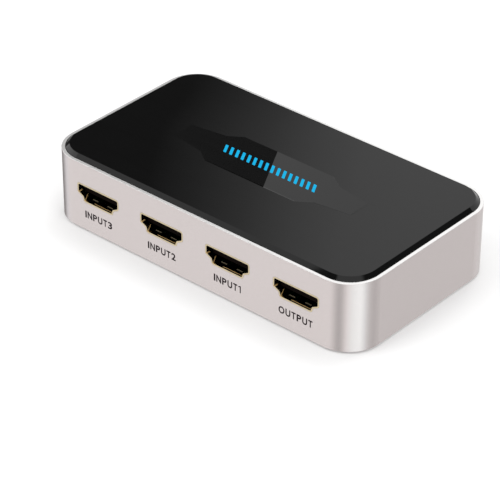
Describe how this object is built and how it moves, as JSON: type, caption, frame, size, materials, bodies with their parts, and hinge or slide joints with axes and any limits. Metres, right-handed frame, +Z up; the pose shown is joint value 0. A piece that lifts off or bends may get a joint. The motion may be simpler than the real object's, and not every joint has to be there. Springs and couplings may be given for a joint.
{
  "type": "hdmi switch box",
  "caption": "Low silver box with a glossy black top, input and output sockets along one long face, and a push button, lamps and a remote window on the other.",
  "frame": {"origin": "on the surface that the feet stand on, under the middle of the box", "axes": "+X along the long side from the input sockets towards the output socket, +Y from the socket face to the front face with the button, +Z up"},
  "size_m": [0.1046, 0.0585, 0.0217],
  "materials": {
    "silver_paint": "satin metallic silver paint with a warm tint",
    "gloss_panel": "polished black acrylic",
    "base_plastic": "fine-textured black plastic",
    "adhesive": "thin double-sided adhesive sheet",
    "screw_steel": "zinc-plated steel",
    "foot_rubber": "matte black rubber",
    "board_laminate": "green solder mask on glass laminate",
    "gold_plate": "gold-plated brass sheet",
    "black_resin": "black moulded resin",
    "tinned_metal": "tinned metal",
    "can_metal": "plain aluminium can",
    "ceramic": "tan ceramic",
    "blue_lens": "tinted clear resin",
    "red_lens": "tinted clear resin",
    "dark_window": "dark polished window",
    "button_plastic": "smooth black plastic",
    "print_blue": "blue ink",
    "print_dark": "dark ink"
  },
  "bodies": {
    "case": {"base_plate": "base_plastic", "board_screws": "screw_steel", "can_capacitors": "can_metal", "case_screws": "screw_steel", "ceramic_capacitors": "ceramic", "circuit_board": "board_laminate", "control_chip": "black_resin", "control_chip_leads": "tinned_metal", "crystal": "tinned_metal", "foot_front_left": "foot_rubber", "foot_front_right": "foot_rubber", "foot_rear_left": "foot_rubber", "foot_rear_right": "foot_rubber", "input_1_contacts": "gold_plate", "input_1_insulator": "black_resin", "input_1_shell": "gold_plate", "input_2_contacts": "gold_plate", "input_2_insulator": "black_resin", "input_2_shell": "gold_plate", "input_3_contacts": "gold_plate", "input_3_insulator": "black_resin", "input_3_shell": "gold_plate", "input_lamps": "blue_lens", "lamp_leads": "tinned_metal", "output_contacts": "gold_plate", "output_insulator": "black_resin", "output_shell": "gold_plate", "panel_adhesive": "adhesive", "power_jack_body": "black_resin", "power_jack_pin": "tinned_metal", "power_jack_spring": "tinned_metal", "power_lamp": "red_lens", "receiver_leads": "tinned_metal", "regulator": "black_resin", "regulator_leads": "tinned_metal", "remote_receiver": "black_resin", "remote_window": "dark_window", "resistors": "black_resin", "side_frame": "silver_paint", "surge_guards": "black_resin", "switch_chip": "black_resin", "switch_chip_leads": "tinned_metal", "tact_switch_base": "black_resin", "tact_switch_cover": "tinned_metal", "tact_switch_dome": "tinned_metal", "tact_switch_leads": "tinned_metal", "top_panel": "gloss_panel"},
    "button": {"select_button": "button_plastic"},
    "plunger": {"tact_switch_plunger": "black_resin"}
  },
  "joints": [
    {"name": "button_press", "type": "slide", "parent": "case", "child": "button", "axis": [0, -1, 0], "range_m": [0, 0.0003], "stiffness_N_per_m": 400},
    {"name": "plunger_press", "type": "slide", "parent": "case", "child": "plunger", "axis": [0, -1, 0], "range_m": [0, 0.0003], "stiffness_N_per_m": 100}
  ],
  "couplings": [
    {"joint": "plunger_press", "follows": "button_press", "ratio": 1}
  ]
}
